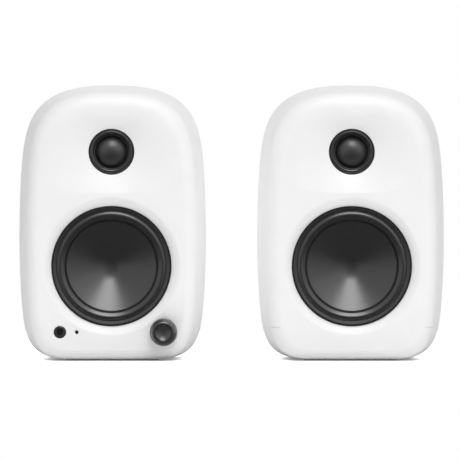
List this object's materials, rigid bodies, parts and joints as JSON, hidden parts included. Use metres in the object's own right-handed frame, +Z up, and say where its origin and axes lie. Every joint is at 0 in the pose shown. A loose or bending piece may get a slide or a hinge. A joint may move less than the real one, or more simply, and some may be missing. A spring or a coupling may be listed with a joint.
{
  "type": "desktop speakers",
  "caption": "Powered desktop stereo pair: rounded white cabinets with a dark woofer and dome tweeter in each, and a volume knob and headphone socket on the active one.",
  "frame": {"origin": "on the table, midway between the two speakers and midway from the volume knob's face to the ends of the line sockets", "axes": "+X from the active speaker to the passive speaker, -Y the way both speakers face, +Z up"},
  "size_m": [0.2648, 0.1588, 0.171],
  "materials": {
    "white_moulding": "satin white moulded cabinet",
    "black_trim": "fine matt black",
    "knob_grey": "soft satin dark grey",
    "roll_rubber": "matt black butyl",
    "cone_composite": "satin dark grey",
    "dome_silk": "coated black silk",
    "pad_rubber": "matt, fine texture",
    "stamped_steel": "plated",
    "black_steel": "black powder coat",
    "ferrite": "ground, dark",
    "copper_winding": "enamelled wire",
    "spider_cloth": "resin-dipped cloth",
    "heatsink_aluminium": "extruded",
    "circuit_board": "solder resist",
    "light_pipe": "smoked, unlit",
    "black_lever": "gloss black",
    "red_lever": "gloss red"
  },
  "bodies": {
    "active_speaker": {"active_front_baffle": "white_moulding", "active_rear_cabinet": "white_moulding", "active_base_pad": "pad_rubber", "active_rear_panel": "black_trim", "active_bass_port": "black_trim", "active_woofer_basket": "black_steel", "active_woofer_surround": "roll_rubber", "active_woofer_spider": "spider_cloth", "active_woofer_top_plate": "stamped_steel", "active_woofer_magnet": "ferrite", "active_woofer_yoke": "stamped_steel", "active_tweeter_faceplate": "black_trim", "active_tweeter_surround": "roll_rubber", "active_tweeter_motor": "stamped_steel", "active_tweeter_chamber": "black_trim", "active_terminal_block": "black_trim", "encoder_body": "stamped_steel", "headphone_jack": "black_trim", "status_light_pipe": "light_pipe", "control_board": "circuit_board", "amplifier_board": "circuit_board", "heatsink": "heatsink_aluminium", "power_transformer": "copper_winding", "power_inlet": "black_trim", "power_switch_frame": "black_trim", "line_input_sockets": "black_trim", "usb_socket": "stamped_steel", "input_board": "circuit_board"},
    "passive_speaker": {"passive_front_baffle": "white_moulding", "passive_rear_cabinet": "white_moulding", "passive_base_pad": "pad_rubber", "passive_rear_panel": "black_trim", "passive_bass_port": "black_trim", "passive_woofer_basket": "black_steel", "passive_woofer_surround": "roll_rubber", "passive_woofer_spider": "spider_cloth", "passive_woofer_top_plate": "stamped_steel", "passive_woofer_magnet": "ferrite", "passive_woofer_yoke": "stamped_steel", "passive_tweeter_faceplate": "black_trim", "passive_tweeter_surround": "roll_rubber", "passive_tweeter_motor": "stamped_steel", "passive_tweeter_chamber": "black_trim", "passive_terminal_block": "black_trim", "crossover_board": "circuit_board"},
    "active_woofer_cone_and_coil": {"active_woofer_cone": "cone_composite", "active_woofer_voice_coil": "copper_winding"},
    "active_tweeter_dome_and_coil": {"active_tweeter_dome": "dome_silk"},
    "active_black_lever": {"active_black_terminal_lever": "black_lever"},
    "active_red_lever": {"active_red_terminal_lever": "red_lever"},
    "passive_woofer_cone_and_coil": {"passive_woofer_cone": "cone_composite", "passive_woofer_voice_coil": "copper_winding"},
    "passive_tweeter_dome_and_coil": {"passive_tweeter_dome": "dome_silk"},
    "passive_black_lever": {"passive_black_terminal_lever": "black_lever"},
    "passive_red_lever": {"passive_red_terminal_lever": "red_lever"},
    "volume_rotor": {"encoder_rotor": "black_trim"},
    "volume_knob_and_shaft": {"volume_knob": "knob_grey", "volume_shaft": "stamped_steel"},
    "power_rocker": {"power_rocker": "black_trim"},
    "pairing_button": {"pairing_button": "black_trim"}
  },
  "joints": [
    {"name": "passive_toe_in", "type": "hinge", "parent": "active_speaker", "child": "passive_speaker", "pos_m": [0.0742, 0, 0], "axis": [0, 0, 1], "range_deg": [-30, 30]},
    {"name": "active_woofer_stroke", "type": "slide", "parent": "active_speaker", "child": "active_woofer_cone_and_coil", "axis": [0, 1, 0], "range_m": [-0.003, 0.003], "stiffness_N_per_m": 900, "deforming": ["active_woofer_surround", "active_woofer_spider"]},
    {"name": "active_tweeter_stroke", "type": "slide", "parent": "active_speaker", "child": "active_tweeter_dome_and_coil", "axis": [0, 1, 0], "range_m": [-0.0003, 0.0003], "stiffness_N_per_m": 150, "deforming": ["active_tweeter_surround"]},
    {"name": "passive_woofer_stroke", "type": "slide", "parent": "passive_speaker", "child": "passive_woofer_cone_and_coil", "axis": [0, 1, 0], "range_m": [-0.003, 0.003], "stiffness_N_per_m": 900, "deforming": ["passive_woofer_surround", "passive_woofer_spider"]},
    {"name": "passive_tweeter_stroke", "type": "slide", "parent": "passive_speaker", "child": "passive_tweeter_dome_and_coil", "axis": [0, 1, 0], "range_m": [-0.0003, 0.0003], "stiffness_N_per_m": 150, "deforming": ["passive_tweeter_surround"]},
    {"name": "volume_turn", "type": "hinge", "parent": "active_speaker", "child": "volume_rotor", "pos_m": [-0.042, -0.06805, 0.0178], "axis": [0, 1, 0], "continuous": true},
    {"name": "volume_press", "type": "slide", "parent": "volume_rotor", "child": "volume_knob_and_shaft", "axis": [0, 1, 0], "range_m": [0, 0.0005], "stiffness_N_per_m": 1000},
    {"name": "power_switch", "type": "hinge", "parent": "active_speaker", "child": "power_rocker", "pos_m": [-0.0912, 0.06995, 0.034], "axis": [0, 0, 1], "range_deg": [0, 16]},
    {"name": "pairing_press", "type": "slide", "parent": "active_speaker", "child": "pairing_button", "axis": [0, -1, 0], "range_m": [0, 0.0007], "stiffness_N_per_m": 100},
    {"name": "active_black_lever_press", "type": "hinge", "parent": "active_speaker", "child": "active_black_lever", "pos_m": [-0.0982, 0.07095, 0.0836], "axis": [-1, 0, 0], "range_deg": [0, 20], "stiffness_Nm_per_rad": 0.04},
    {"name": "active_red_lever_press", "type": "hinge", "parent": "active_speaker", "child": "active_red_lever", "pos_m": [-0.0842, 0.07095, 0.0836], "axis": [-1, 0, 0], "range_deg": [0, 20], "stiffness_Nm_per_rad": 0.04},
    {"name": "passive_black_lever_press", "type": "hinge", "parent": "passive_speaker", "child": "passive_black_lever", "pos_m": [0.0672, 0.07095, 0.0836], "axis": [-1, 0, 0], "range_deg": [0, 20], "stiffness_Nm_per_rad": 0.04},
    {"name": "passive_red_lever_press", "type": "hinge", "parent": "passive_speaker", "child": "passive_red_lever", "pos_m": [0.0812, 0.07095, 0.0836], "axis": [-1, 0, 0], "range_deg": [0, 20], "stiffness_Nm_per_rad": 0.04}
  ]
}
